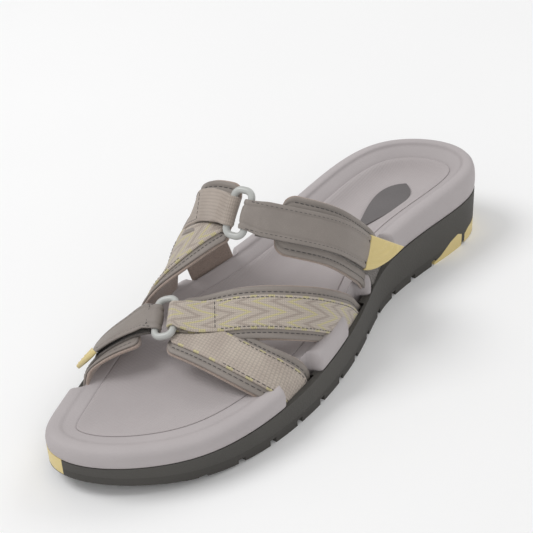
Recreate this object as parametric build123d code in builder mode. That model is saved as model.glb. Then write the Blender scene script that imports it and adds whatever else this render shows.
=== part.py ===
from build123d import *
import math
import os

# Left slide sandal with two adjustable straps.  Millimetres, +Z up, toe towards -Y,
# outer (lateral) side towards +X, soles standing on z = 0.

# ---------------------------------------------------------------- driving dimensions
ORIGIN_X = -1.8                 # middle of the whole sandal, subtracted from every place below
ORIGIN_Y = -0.59

# the points that pull the sole's outline, anticlockwise from the back of the heel
OUTLINE = [(15, 142), (-21.5, 127), (-33.5, 92), (-29.5, 14), (-46.5, -38), (-51, -68), (-34.5, -114.5),
           (-26, -139), (-1, -139), (26, -116), (41.5, -90), (49, -42), (42, 8), (28.5, 41), (34, 84),
           (41, 126)]
OUTLINE_STEPS = 36              # places taken along each half of the outline
HEEL_Y = 140.0                  # the height curves run past both ends of the sole
TOE_Y = -148.0
# heights at the heel end, heel, waist, ball and toe end, along CURVE_Y
CURVE_Y = [HEEL_Y, 70.0, 0.0, -65.0, TOE_Y]
GROUND = [4.0, 0.0, 0.0, 0.0, 10.0]
TREAD_TOP = [9.0, 5.0, 5.0, 5.0, 13.0]
BED_SEAT = [20.0, 17.0, 13.5, 9.5, 14.5]
WALL_TOP = [25.5, 24.0, 19.5, 14.5, 17.0]
BED_TOP = [31.0, 28.0, 23.5, 20.0, 23.0]
RIM_TOP = [42.0, 37.5, 31.0, 23.5, 26.5]
FOOT_EDGE = [28.0, 24.5, 19.0, 14.0, 17.5]     # where the straps meet the footbed's edge

WALL = 4.0                      # midsole wall around the footbed
FIT = 0.05                      # gap between bonded or stitched pieces
RIM = 9.0                       # width of the footbed's raised rim
COVER_INSET = 13.0
COVER_THICK = 1.0
BADGE_THICK = 0.8
BUMPER_THICK = 3.5
POD_DEPTH = 8.0
PAD_CORNER = 0.8
# side profiles (y, height) of the rubber pads let into the sole's edge
SIDE_POD = [(80, 0), (90, 3), (98, 7.5), (104, 9), (108, 7), (108, 0)]
REAR_POD = [(111, 0.3), (111, 5.5), (115, 7.5), (126, 8.5), (138, 6), (138, 0.3)]
BUMPER = [(-118, 8.5), (-118, 15.5), (-150, 16.5), (-150, 8)]
BUMPER_END = -12.0              # the bumper wraps the inner corner of the toe up to this x

LINING = 1.6                    # foam-backed lining
LEATHER = 1.25                  # synthetic leather
WEBBING = 1.3
WEBBING_WIDTH = 15.0
REAR_WIDTH = 15.5               # rear hook-and-loop strap
BACKING_WIDTH = 23.0
QUARTER_WIDTH = 26.0
LINING_MARGIN = 0.6             # the lining shows past the leather on each edge

RING_WIRE = 3.2
RING_PITCH = 8.6                # between the two bars
RING_BAR = 13.6                 # straight part of each bar
RING_CORNER = 3.4
BAR_WIDTH = 13.2                # webbing and tabs are gathered to this width at the bars
BAR_PLAY = 0.1                  # bar to the inside of a webbing loop
BAR_HEIGHT = 6.0                # bar centre above the foot
FOLD_GAP = 0.35                 # fold to the tab and to the strap below
HOOK = 1.1
PILE_GAP = 0.3                  # hooks to pile

LEATHER_LOW = LINING + FIT
WEBBING_LOW = LEATHER_LOW + LEATHER + FIT
TOP_WEBBING_LOW = WEBBING_LOW + WEBBING + FIT
LOOP_INNER = RING_WIRE / 2 + BAR_PLAY
TAB_LOW = BAR_HEIGHT + LOOP_INNER

# Straps run over the foot.  Each route is a few control points (turn, y): turn is 0 where the
# foot meets the sole on the outer side, 0.5 over the instep and 1 on the inner side, and
# past 0 and 1 the route goes down between the footbed and the midsole wall.
FRONT_RING_AT = (0.575, -61.0)
REAR_RING_AT = (0.45, -19.5)
FRONT_CHEVRON = [(0.555, -60), (0.50, -56.5), (0.39, -47), (0.20, -35), (0.06, -18), (0.01, -5),
                 (-0.03, 8)]
FRONT_PLAIN = [(0.545, -63), (0.47, -62.5), (0.28, -62), (0.10, -55), (0.03, -51), (-0.03, -47)]
FRONT_INNER = [(0.60, -61), (0.68, -65), (0.735, -71), (0.80, -78), (0.88, -85), (0.97, -89), (1.03, -92)]
REAR_PLAIN = [(0.47, -19.5), (0.53, -20), (0.62, -20), (0.73, -20), (0.84, -17), (0.95, -12), (1.03, -6)]
REAR_CHEVRON = [(0.50, -21), (0.60, -28), (0.72, -35), (0.82, -40), (0.95, -44), (1.03, -47)]
REAR_OUTER = [(0.43, -19.5), (0.38, -18), (0.27, -13), (0.15, 1), (0.06, 16), (0.02, 30), (-0.03, 41)]
TUCK = 400.0                    # depth under the foot's edge for a whole unit of turn
TAIL = 12.0                     # webbing folded back under itself at a ring
PANEL_START = 11.0              # the panels under the tabs begin this far past the bar
BAR_CLEAR = 3.6                 # a strap takes up its own course this far past the bar
REAR_TAB = 62.0                 # length of each tab, from the ring to its rubber tip
FRONT_TAB = 27.0
TIP = 18.0
TIP_THICK = 2.0
PILE = 1.4
TAB_LEG = 2.2                   # the fold's straight ends, past the bar
STEPS = 14                      # cross-sections along each strap
BAR_STEPS = 9                   # and round each bar
FRONT_TUCK = 11.5               # how low the straps reach inside the sole
REAR_TUCK = 15.5


# ---------------------------------------------------------------- the shapes everything follows
def along(values, y):
    """A height curve's value at y, between its five stations."""
    for index in range(len(CURVE_Y) - 1):
        if y >= CURVE_Y[index + 1]:
            break
    share = (CURVE_Y[index] - y) / (CURVE_Y[index] - CURVE_Y[index + 1])
    return values[index] + share * (values[index + 1] - values[index])


def foot_sides(y):
    """The foot's outer and inner x where the straps meet the sole."""
    outer = 39.5 - 0.002 * (y + 45) ** 2
    spread = 0.0025 if y > -70 else 0.012
    return outer, -40.5 + spread * (y + 70) ** 2


def foot(turn, y):
    """The foot's surface: a rounded arch over the sole at y, rising steeply to the instep."""
    top = 30 + 13.5 * math.log1p(math.exp((y + 52) / 10))
    base = along(FOOT_EDGE, y)
    ridge = -11 - 0.15 * (y + 20)
    outer, inner = foot_sides(y)
    middle = (outer + inner) / 2
    tuck = max(-turn, turn - 1, 0.0) * TUCK
    angle = math.pi * min(max(turn, 0.0), 1.0)
    sine = max(math.sin(angle), 0.0)
    cosine = math.cos(angle)
    across = math.copysign(abs(cosine) ** 0.87, cosine) * (outer - inner) / 2
    x = middle + across + (ridge - middle) * sine ** 2
    return Vector(x - ORIGIN_X, y - ORIGIN_Y, base - tuck + (top - base) * sine ** 0.87)


def on_route(route, share):
    """A point (turn, y) on the smooth curve that a route's control points pull."""
    count = len(route)
    knots = [0.0] * 4 + [i / (count - 3) for i in range(1, count - 3)] + [1.0] * 4
    share = min(max(share, 0.0), 0.999999)
    span = max(i for i in range(3, count) if knots[i] <= share)
    work = [list(route[span - 3 + i]) for i in range(4)]
    for level in range(1, 4):
        for i in range(3, level - 1, -1):
            low = knots[span - 3 + i]
            high = knots[span + 1 + i - level]
            mix = (share - low) / (high - low)
            for axis in range(2):
                work[i][axis] = (1 - mix) * work[i - 1][axis] + mix * work[i][axis]
    return work[3][0], work[3][1]


def frame_at(turn, y, travel):
    """A plane on the foot: its normal is the strap's direction, its Y points away from the foot."""
    step = 0.004
    out = (foot(turn + step, y) - foot(turn - step, y)).cross(foot(turn, y + 0.2) - foot(turn, y - 0.2))
    out = out.normalized()
    if out.dot(foot(turn, y) - foot(0.5, y) + Vector(0, 0, 40)) < 0:
        out = out * -1
    travel = (travel - out * travel.dot(out)).normalized()
    return Plane(origin=foot(turn, y), x_dir=out.cross(travel), z_dir=travel)


def station(route, share):
    """The cross-section plane of a strap, a share of the way along its route."""
    turn, y = on_route(route, share)
    ahead = foot(*on_route(route, min(share + 0.01, 0.999)))
    behind = foot(*on_route(route, max(share - 0.01, 0.0)))
    return frame_at(turn, y, ahead - behind)


def reversed_frame(frame):
    """The same cross-section, travelled the other way."""
    return Plane(origin=frame.origin, x_dir=frame.x_dir * -1, z_dir=frame.z_dir * -1)


def flipped_frame(frame):
    """The same cross-section, travelled the other way with its Y towards the foot."""
    return Plane(origin=frame.origin, x_dir=frame.x_dir, z_dir=frame.z_dir * -1)


def ramp(distance, start, end):
    """0 before start, 1 after end, smooth between."""
    share = min(max((distance - start) / (end - start), 0.0), 1.0)
    return share * share * (3 - 2 * share)


def stations(route, start=0.0, end=1000.0):
    """A strap's cross-sections that lie between two distances from its ring end."""
    chosen = []
    distance = 0.0
    last = None
    for step in range(STEPS + 1):
        frame = station(route, step / STEPS)
        if last is not None:
            distance += (frame.origin - last.origin).length
        if start <= distance <= end:
            chosen.append((distance, frame))
        last = frame
    return chosen


def listed(value, count):
    return value if isinstance(value, list) else [value] * count


def band(frames, width, low, thick, shift=0.0):
    """Loft one layer of a strap: a flat section in each frame, low above its origin."""
    count = len(frames)
    rows = zip(frames, listed(width, count), listed(low, count), listed(shift, count))
    with BuildPart() as layer:
        for frame, wide, height, across in rows:
            with BuildSketch(frame):
                with Locations((across, height + thick / 2)):
                    Rectangle(wide, thick)
        loft(ruled=True)
    return layer.part


def ring_frame(place, webbing_route, tab_route):
    """The frame under a ring's middle: its normal points from the webbing to the tab."""
    heading = station(tab_route, 0.02).z_dir - station(webbing_route, 0.02).z_dir
    return frame_at(*place, heading)


def bar_of(ring, ahead):
    """The middle of one bar of a ring, ahead of the ring's middle."""
    return ring.origin + ring.y_dir * BAR_HEIGHT + ring.z_dir * ahead


def around_bar(ring, bar, first=0.0, last=180.0):
    """Cross-sections round a bar between two angles, over its top, through the ring and back below."""
    frames = []
    for step in range(BAR_STEPS):
        angle = math.radians(first + (last - first) * step / (BAR_STEPS - 1))
        travel = ring.z_dir * math.cos(angle) - ring.y_dir * math.sin(angle)
        frames.append(Plane(origin=bar, x_dir=ring.x_dir, z_dir=travel))
    return frames


def beside_bar(ring, bar, distance, below):
    """A cross-section beside a bar, before (above) or after (below) the turn round it."""
    frame = Plane(origin=bar - ring.z_dir * distance, x_dir=ring.x_dir, z_dir=ring.z_dir)
    return flipped_frame(frame) if below else frame


def past_bar(route, ring, gap, reach=1000.0):
    """A strap's cross-sections beyond the nearer bar of its ring, with their distance from it."""
    chosen = []
    for distance, frame in stations(route):
        beyond = abs((frame.origin - ring.origin).dot(ring.z_dir)) - RING_PITCH / 2
        if gap <= beyond and distance <= reach:
            chosen.append((distance, frame))
    return chosen


def gathered(width, distance):
    """A strap's width at a distance from its ring end, narrowed towards the bar."""
    return BAR_WIDTH + (width - BAR_WIDTH) * ramp(distance, 2, TAIL)


def looped_webbing(route, ring):
    """Webbing from the sole to a ring, round its bar, and back under itself."""
    bar = bar_of(ring, -RING_PITCH / 2)
    frames = []
    lows = []
    widths = []
    for distance, frame in reversed(past_bar(route, ring, BAR_CLEAR)):
        low = WEBBING_LOW + (TOP_WEBBING_LOW - WEBBING_LOW) * (1 - ramp(distance, TAIL + 4, TAIL + 12))
        low += (BAR_HEIGHT + LOOP_INNER - TOP_WEBBING_LOW) * (1 - ramp(distance, 3, TAIL + 4))
        frames.append(reversed_frame(frame))
        lows.append(low)
        widths.append(gathered(WEBBING_WIDTH, distance))
    frames += around_bar(ring, bar, -32.0, 166.0)
    lows += [LOOP_INNER] * BAR_STEPS
    widths += [BAR_WIDTH] * BAR_STEPS
    for distance, frame in past_bar(route, ring, BAR_CLEAR, TAIL):
        frames.append(flipped_frame(reversed_frame(frame)))
        lows.append(-WEBBING_LOW - WEBBING)
        widths.append(gathered(WEBBING_WIDTH, distance))
    return band(frames, widths, lows, WEBBING)


def strap_layer(route, width, low, thick, start=0.0, end=1000.0):
    """One flat layer of a strap, between two distances from its ring end."""
    return band([frame for distance, frame in stations(route, start, end)], width, low, thick)


def clear_of(route, ring):
    """The space that a branch keeps clear of the main branch and of the ring."""
    wide = RING_BAR + 2 * RING_CORNER + RING_WIRE + 1
    deep = RING_PITCH + RING_WIRE + 2 * (WEBBING + BAR_PLAY) + 1
    with BuildPart() as space:
        with BuildSketch(Plane(origin=ring.origin - ring.y_dir * 6, x_dir=ring.x_dir, z_dir=ring.y_dir)):
            Rectangle(wide, deep)
        extrude(amount=24)
    return strap_layer(route, BACKING_WIDTH + 2 * LINING_MARGIN + 2 * FIT, -6.0, 24.0), space.part


# ---------------------------------------------------------------- sole
def outline_at(place, inset):
    """A point on the outline, place counted along its pulling points, moved in by inset."""
    first = math.floor(place)
    part = place - first
    pulls = [OUTLINE[(first + index - 1) % len(OUTLINE)] for index in range(4)]
    shares = [(1 - part) ** 3 / 6, (3 * part ** 3 - 6 * part ** 2 + 4) / 6,
              (-3 * part ** 3 + 3 * part ** 2 + 3 * part + 1) / 6, part ** 3 / 6]
    slopes = [-(1 - part) ** 2 / 2, (3 * part ** 2 - 4 * part) / 2,
              (-3 * part ** 2 + 2 * part + 1) / 2, part ** 2 / 2]
    x, y = [sum(share * pull[axis] for share, pull in zip(shares, pulls)) for axis in range(2)]
    run, rise = [sum(slope * pull[axis] for slope, pull in zip(slopes, pulls)) for axis in range(2)]
    length = math.hypot(run, rise)
    return x - rise / length * inset - ORIGIN_X, y + run / length * inset - ORIGIN_Y


def outline_block(inset, height):
    """The sole's outline, drawn in by inset, from the ground up to a height."""
    half = len(OUTLINE) / 2
    with BuildPart() as block:
        with BuildSketch():
            with BuildLine():
                for start in (0, half):
                    Spline(*[outline_at(start + half * step / OUTLINE_STEPS, inset)
                             for step in range(OUTLINE_STEPS + 1)])
            make_face()
        extrude(amount=height)
    return block.part


def height_slab(low, high):
    """Everything between two height curves, wider than the sole."""
    with BuildPart() as slab:
        with BuildSketch(Plane.YZ.offset(-80)):
            with BuildLine():
                bottom = Spline(*[(y - ORIGIN_Y, z) for y, z in zip(CURVE_Y, low)])
                top = Spline(*[(y - ORIGIN_Y, z) for y, z in zip(CURVE_Y, high)])
                Line(bottom @ 0, top @ 0)
                Line(bottom @ 1, top @ 1)
            make_face()
        extrude(amount=160)
    return slab.part


def sole_block(low, high, inset=0.0):
    """The outline, drawn in by inset, between two height curves."""
    block = outline_block(inset, 70.0)
    slab = height_slab(low, high)
    with BuildPart() as layer:
        add(block)
        add(slab, mode=Mode.INTERSECT)
    return layer.part


def lift(heights, amount):
    return [height + amount for height in heights]


def side_pad(points, depth, outer_side, start=0.0):
    """A rubber pad in the sole's edge: a rounded side profile beyond start, depth in from the outline."""
    edge = outline_block(0, 30.0)
    core = outline_block(depth, 30.0)
    with BuildPart() as pad:
        with BuildSketch(Plane.YZ.offset(start)) as profile:
            with BuildLine():
                Polyline(*[(y - ORIGIN_Y, z) for y, z in points], close=True)
            make_face()
            fillet(profile.vertices(), PAD_CORNER)
        extrude(amount=80 * outer_side)
        add(edge, mode=Mode.INTERSECT)
        add(core, mode=Mode.SUBTRACT)
    return pad.part


def above(height):
    """Everything over a level."""
    with BuildPart() as block:
        with BuildSketch(Plane.XY.offset(height)):
            Rectangle(300, 400)
        extrude(amount=150)
    return block.part


def strap_slots(thick, low):
    """The space of the straps where they run down between the footbed and the wall."""
    slots = []
    for route, width, level in TUCKED:
        slot = strap_layer(route, width + 0.8, low, thick, 20.0)
        slots.append(slot & above(level - 0.2))
    return slots


def write(piece, label):
    """Label a finished piece and write its file."""
    piece.part.label = label
    export_step(piece.part, f"parts/{label}.step")
    return piece.part


TUCKED = [
    (FRONT_CHEVRON, BACKING_WIDTH + 2 * LINING_MARGIN, FRONT_TUCK),
    (FRONT_PLAIN, BACKING_WIDTH + 2 * LINING_MARGIN, FRONT_TUCK),
    (FRONT_INNER, QUARTER_WIDTH + 2 * LINING_MARGIN, FRONT_TUCK),
    (REAR_PLAIN, BACKING_WIDTH + 2 * LINING_MARGIN, REAR_TUCK),
    (REAR_CHEVRON, BACKING_WIDTH + 2 * LINING_MARGIN, REAR_TUCK),
    (REAR_OUTER, QUARTER_WIDTH + 2 * LINING_MARGIN, REAR_TUCK),
]


def make_sole():
    """Everything under the foot."""
    wall_slots = strap_slots(WEBBING_LOW + WEBBING + 0.4, -0.25)
    rim_notches = strap_slots(18.0, -0.25)
    pads = {
        "heel_pod_outer": side_pad(SIDE_POD, POD_DEPTH, 1),
        "heel_pod_rear": side_pad(REAR_POD, POD_DEPTH, 1),
        "heel_pod_inner": side_pad(SIDE_POD, POD_DEPTH, -1),
        "toe_bumper": side_pad(BUMPER, BUMPER_THICK, -1, BUMPER_END - ORIGIN_X),
    }
    block = sole_block(GROUND, TREAD_TOP)
    with BuildPart() as groove_block:
        with BuildSketch(Plane.XY.offset(-1)):
            with GridLocations(200, 17, 1, 13):
                Rectangle(150, 3.5)
        extrude(amount=4.0)
    with BuildPart() as outsole:
        add(block)
        add(groove_block.part, mode=Mode.SUBTRACT)
        for pad in pads.values():
            add(pad, mode=Mode.SUBTRACT)
    write(outsole, "outsole")

    with BuildPart() as shank:
        with BuildSketch(Plane.XY.offset(6.0)):
            with Locations((-ORIGIN_X, 35 - ORIGIN_Y)):
                SlotOverall(90, 24, rotation=90)
        extrude(amount=1.6)
    write(shank, "shank")

    outer = sole_block(lift(TREAD_TOP, FIT), WALL_TOP)
    hollow = sole_block(BED_SEAT, lift(WALL_TOP, 30), WALL)
    with BuildPart() as midsole:
        add(outer)
        add(hollow, mode=Mode.SUBTRACT)
        add(shank.part, mode=Mode.SUBTRACT)
        for piece in wall_slots + list(pads.values()):
            add(piece, mode=Mode.SUBTRACT)
    write(midsole, "midsole")
    for label, pad in pads.items():
        with BuildPart() as pod:
            add(pad)
        write(pod, label)

    plug = sole_block(lift(BED_SEAT, FIT), lift(WALL_TOP, 1.0), WALL + FIT)
    upper = sole_block(lift(WALL_TOP, FIT), RIM_TOP, 0.3)
    dish = sole_block(BED_TOP, lift(RIM_TOP, 30), RIM)
    half_way = [(bed + rim) / 2 for bed, rim in zip(BED_TOP, RIM_TOP)]
    slope = sole_block(half_way, lift(RIM_TOP, 30), RIM / 2)
    recess = sole_block(lift(BED_TOP, -COVER_THICK - FIT), lift(RIM_TOP, 30), COVER_INSET - FIT)
    with BuildPart() as footbed:
        add(plug)
        add(upper)
        for piece in [dish, slope, recess, pads["toe_bumper"]] + rim_notches:
            add(piece, mode=Mode.SUBTRACT)
    write(footbed, "footbed")

    sheet = sole_block(lift(BED_TOP, -COVER_THICK), BED_TOP, COVER_INSET)
    badge_slab = height_slab(lift(BED_TOP, -BADGE_THICK / 2), lift(BED_TOP, BADGE_THICK / 2))
    with BuildPart() as heel_badge:
        with BuildSketch():
            with BuildLine(Location((-ORIGIN_X, -ORIGIN_Y, 0))):
                nose = (6, 52)
                left = Spline(nose, (-1, 80), (0, 96), (6, 103))
                Spline(left @ 1, (12.5, 96), (13, 80), nose)
            make_face()
        extrude(amount=60)
        add(badge_slab, mode=Mode.INTERSECT)
    write(heel_badge, "heel_badge")
    with BuildPart() as footbed_cover:
        add(sheet)
        add(heel_badge.part, mode=Mode.SUBTRACT)
    write(footbed_cover, "footbed_cover")


def make_ring(ring, label):
    """A round-wire ring: two straight bars with rounded ends."""
    middle = ring.origin + ring.y_dir * BAR_HEIGHT
    flat = Plane(origin=middle, x_dir=ring.x_dir, z_dir=ring.y_dir)
    with BuildPart() as wire:
        with BuildLine(flat) as path:
            half = RING_BAR / 2 + RING_CORNER
            side = RING_PITCH / 2
            FilletPolyline((-half, -side), (half, -side), (half, side), (-half, side),
                           radius=RING_CORNER, close=True)
        with BuildSketch(Plane(origin=path.line @ 0, z_dir=path.line % 0)):
            Circle(RING_WIRE / 2)
        sweep()
    write(wire, label)


def make_webbing_side(ring, main, branch, level, name, main_name, branch_name):
    """The lining, leather and two webbings on the side that holds the ring."""
    clear_main, clear_ring = clear_of(main, ring)
    kept = above(level)
    pieces = {
        f"{name}_lining": (BACKING_WIDTH + 2 * LINING_MARGIN, 0.0, LINING),
        f"{name}_leather": (BACKING_WIDTH, LEATHER_LOW, LEATHER),
    }
    for label, (width, low, thick) in pieces.items():
        main_layer = strap_layer(main, width, low, thick)
        branch_layer = strap_layer(branch, width, low, thick) - clear_main - clear_ring
        with BuildPart() as panel:
            add(main_layer)
            add(branch_layer)
            add(kept, mode=Mode.INTERSECT)
        write(panel, label)
    loop = looped_webbing(main, ring)
    with BuildPart() as main_webbing:
        add(loop)
        add(kept, mode=Mode.INTERSECT)
    write(main_webbing, main_name)
    strip = strap_layer(branch, WEBBING_WIDTH, WEBBING_LOW, WEBBING)
    with BuildPart() as branch_webbing:
        add(strip)
        add(clear_main, mode=Mode.SUBTRACT)
        add(clear_ring, mode=Mode.SUBTRACT)
        add(kept, mode=Mode.INTERSECT)
    write(branch_webbing, branch_name)


def make_tab_side(ring, route, length, level, upper_side, name, side):
    """The panel, loop strap, fold and tab on the side that closes with hooks and loops."""
    kept = above(level)
    layers = {
        f"{name}_{side}_lining": (QUARTER_WIDTH + 2 * LINING_MARGIN, 0.0, LINING, PANEL_START),
        f"{name}_{side}_leather": (QUARTER_WIDTH, LEATHER_LOW, LEATHER, PANEL_START),
        f"{name}_loop_strap": (REAR_WIDTH, WEBBING_LOW, PILE, TAB_LEG + 1.2),
    }
    for label, (width, low, thick, gap) in layers.items():
        layer = band([frame for distance, frame in past_bar(route, ring, gap)], width, low, thick)
        with BuildPart() as panel:
            add(layer)
            add(kept, mode=Mode.INTERSECT)
        write(panel, label)
    towards = reversed_frame(ring)
    bar = bar_of(ring, RING_PITCH / 2)
    turn = [beside_bar(towards, bar, TAB_LEG, False)] + around_bar(towards, bar)
    turn += [beside_bar(towards, bar, TAB_LEG, True)]
    wrap = band(turn, BAR_WIDTH, LOOP_INNER, LEATHER)
    with BuildPart() as fold:
        add(wrap)
    write(fold, f"{name}_tab_fold")

    rest = WEBBING_LOW + PILE + PILE_GAP + HOOK + FIT
    frames = [Plane(origin=bar + ring.z_dir * (TAB_LEG + FOLD_GAP) - ring.y_dir * BAR_HEIGHT,
                    x_dir=ring.x_dir, z_dir=ring.z_dir)]
    lows = [TAB_LOW]
    widths = [BAR_WIDTH]
    for distance, frame in past_bar(route, ring, TAB_LEG + FOLD_GAP + 2, length):
        frames.append(frame)
        widths.append(gathered(REAR_WIDTH, distance))
        lows.append(rest + (TAB_LOW - rest) * (1 - ramp(distance, 3, 16)))
    leather = band(frames, widths, lows, LEATHER)
    with BuildPart() as tab:
        add(leather)
    write(tab, f"{name}_tab")
    hook_pad = strap_layer(route, REAR_WIDTH - 1.5, rest - HOOK - FIT, HOOK, 17.0, length)
    with BuildPart() as hooks:
        add(hook_pad)
    write(hooks, f"{name}_tab_hooks")

    last = stations(route, 0.0, length)[-1][1]
    frames = []
    widths = []
    shifts = []
    for step in range(9):
        share = step / 8.3
        wide = (REAR_WIDTH + 1) * math.sqrt(1 - share ** 2)
        frames.append(Plane(origin=last.origin + last.z_dir * (FIT + TIP * share),
                            x_dir=last.x_dir, z_dir=last.z_dir))
        widths.append(wide)
        shifts.append(upper_side * (REAR_WIDTH + 1 - wide) / 2)
    cap = band(frames, widths, rest - 0.4, TIP_THICK, shifts)
    with BuildPart() as tip:
        add(cap)
    write(tip, f"{name}_tab_tip")


def main():
    os.makedirs("parts", exist_ok=True)
    make_sole()
    front_ring = ring_frame(FRONT_RING_AT, FRONT_CHEVRON, FRONT_INNER)
    make_ring(front_ring, "front_ring")
    make_webbing_side(front_ring, FRONT_CHEVRON, FRONT_PLAIN, FRONT_TUCK, "front_outer",
                      "front_chevron_webbing", "front_plain_webbing")
    make_tab_side(front_ring, FRONT_INNER, FRONT_TAB, FRONT_TUCK, -1, "front", "inner")
    rear_ring = ring_frame(REAR_RING_AT, REAR_PLAIN, REAR_OUTER)
    make_ring(rear_ring, "rear_ring")
    make_webbing_side(rear_ring, REAR_PLAIN, REAR_CHEVRON, REAR_TUCK, "rear_inner",
                      "rear_plain_webbing", "rear_chevron_webbing")
    make_tab_side(rear_ring, REAR_OUTER, REAR_TAB, REAR_TUCK, 1, "rear", "outer")


main()
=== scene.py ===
import math

import bmesh
import bpy
import numpy as np
from mathutils import Matrix, Vector


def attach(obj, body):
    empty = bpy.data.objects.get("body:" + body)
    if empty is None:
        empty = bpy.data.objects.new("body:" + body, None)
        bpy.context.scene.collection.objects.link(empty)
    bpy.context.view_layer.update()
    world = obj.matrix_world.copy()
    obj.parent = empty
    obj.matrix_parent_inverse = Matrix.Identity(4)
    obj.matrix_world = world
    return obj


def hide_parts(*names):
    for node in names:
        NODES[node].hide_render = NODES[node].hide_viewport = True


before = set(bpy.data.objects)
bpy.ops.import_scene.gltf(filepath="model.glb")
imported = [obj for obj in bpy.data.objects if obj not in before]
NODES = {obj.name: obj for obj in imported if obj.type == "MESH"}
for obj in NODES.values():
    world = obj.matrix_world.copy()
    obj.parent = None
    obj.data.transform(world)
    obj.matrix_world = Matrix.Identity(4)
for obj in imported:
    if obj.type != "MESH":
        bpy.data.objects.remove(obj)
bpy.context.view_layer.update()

MM = 0.001

# ---------------------------------------------------------------- shapes shared with the CAD, in mm
ORIGIN = np.array([-1.8, -0.59, 0.0])
OUTLINE = np.array([(15, 142), (-21.5, 127), (-33.5, 92), (-29.5, 14), (-46.5, -38), (-51, -68),
                    (-34.5, -114.5), (-26, -139), (-1, -139), (26, -116), (41.5, -90), (49, -42), (42, 8),
                    (28.5, 41), (34, 84), (41, 126)], float)
CURVE_Y = [140.0, 70.0, 0.0, -65.0, -148.0]
WALL_TOP = [25.5, 24.0, 19.5, 14.5, 17.0]
BED_TOP = [31.0, 28.0, 23.5, 20.0, 23.0]
RIM_TOP = [42.0, 37.5, 31.0, 23.5, 26.5]
FOOT_EDGE = [28.0, 24.5, 19.0, 14.0, 17.5]

LINING, LEATHER, WEBBING, FIT = 1.6, 1.25, 1.3, 0.05
WEBBING_WIDTH, REAR_WIDTH, BACKING_WIDTH, QUARTER_WIDTH = 15.0, 15.5, 23.0, 26.0
RING_WIRE, RING_PITCH, BAR_HEIGHT, BAR_PLAY, BAR_WIDTH = 3.2, 8.6, 6.0, 0.1, 13.2
LEATHER_LOW = LINING + FIT
WEBBING_LOW = LEATHER_LOW + LEATHER + FIT
TOP_LOW = WEBBING_LOW + WEBBING + FIT
LOOP_INNER = RING_WIRE / 2 + BAR_PLAY
PILE, HOOK = 1.4, 1.1
LINING_MARGIN, SEAM_INSET, PANEL_ROUND = 0.6, 2.6, 5.0
TAB_REST = WEBBING_LOW + PILE + 0.3 + HOOK + FIT
TAB_LOW = BAR_HEIGHT + LOOP_INNER
TAIL, TAB_LEG = 12.0, 2.2
REAR_TAB, FRONT_TAB = 62.0, 27.0

FRONT_RING_AT, REAR_RING_AT = (0.575, -61.0), (0.45, -19.5)
FRONT_CHEVRON = [(0.555, -60), (0.50, -56.5), (0.39, -47), (0.20, -35), (0.06, -18), (0.01, -5), (-0.03, 8)]
FRONT_PLAIN = [(0.545, -63), (0.47, -62.5), (0.28, -62), (0.10, -55), (0.03, -51), (-0.03, -47)]
FRONT_INNER = [(0.60, -61), (0.68, -65), (0.735, -71), (0.80, -78), (0.88, -85), (0.97, -89), (1.03, -92)]
REAR_PLAIN = [(0.47, -19.5), (0.53, -20), (0.62, -20), (0.73, -20), (0.84, -17), (0.95, -12), (1.03, -6)]
REAR_CHEVRON = [(0.50, -21), (0.60, -28), (0.72, -35), (0.82, -40), (0.95, -44), (1.03, -47)]
REAR_OUTER = [(0.43, -19.5), (0.38, -18), (0.27, -13), (0.15, 1), (0.06, 16), (0.02, 30), (-0.03, 41)]


def unit(v):
    return v / np.maximum(np.linalg.norm(v, axis=-1, keepdims=True), 1e-12)


def heights(values, y):
    """A height curve's value, smooth through its five stations."""
    return np.polyval(np.polyfit(CURVE_Y, values, 4), y)


def foot(turn, y):
    """The foot's surface, where turn runs 0 outer edge, 0.5 instep, 1 inner edge."""
    turn, y = np.broadcast_arrays(np.asarray(turn, float), np.asarray(y, float))
    top = 30 + 13.5 * np.log1p(np.exp((y + 52) / 10))
    base = np.interp(y, CURVE_Y[::-1], FOOT_EDGE[::-1])
    ridge = -11 - 0.15 * (y + 20)
    outer = 39.5 - 0.002 * (y + 45) ** 2
    inner = -40.5 + np.where(y > -70, 0.0025, 0.012) * (y + 70) ** 2
    middle = (outer + inner) / 2
    tuck = np.maximum(np.maximum(-turn, turn - 1), 0) * 400
    angle = np.pi * np.clip(turn, 0, 1)
    sine = np.maximum(np.sin(angle), 0)
    cosine = np.cos(angle)
    across = np.sign(cosine) * np.abs(cosine) ** 0.87 * (outer - inner) / 2
    x = middle + across + (ridge - middle) * sine ** 2
    return np.stack([x, y, base - tuck + (top - base) * sine ** 0.87], -1) - ORIGIN


def on_route(route, share):
    """A point (turn, y) on the clamped cubic B-spline of a route."""
    count = len(route)
    knots = [0.0] * 4 + [i / (count - 3) for i in range(1, count - 3)] + [1.0] * 4
    share = min(max(share, 0.0), 0.999999)
    span = max(i for i in range(3, count) if knots[i] <= share)
    work = [np.array(route[span - 3 + i], float) for i in range(4)]
    for level in range(1, 4):
        for i in range(3, level - 1, -1):
            mix = (share - knots[span - 3 + i]) / (knots[span + 1 + i - level] - knots[span - 3 + i])
            work[i] = (1 - mix) * work[i - 1] + mix * work[i]
    return work[3]


def outward(turn, y):
    """The foot's outward direction, averaged a little to both sides."""
    step = 0.012
    normal = np.cross(foot(turn + step, y) - foot(turn - step, y), foot(turn, y + 0.5) - foot(turn, y - 0.5))
    normal = unit(normal)
    away = foot(turn, y) - foot(0.5, y) + np.array([0, 0, 40.0])
    return normal * np.where((normal * away).sum(-1, keepdims=True) < 0, -1, 1)


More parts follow.
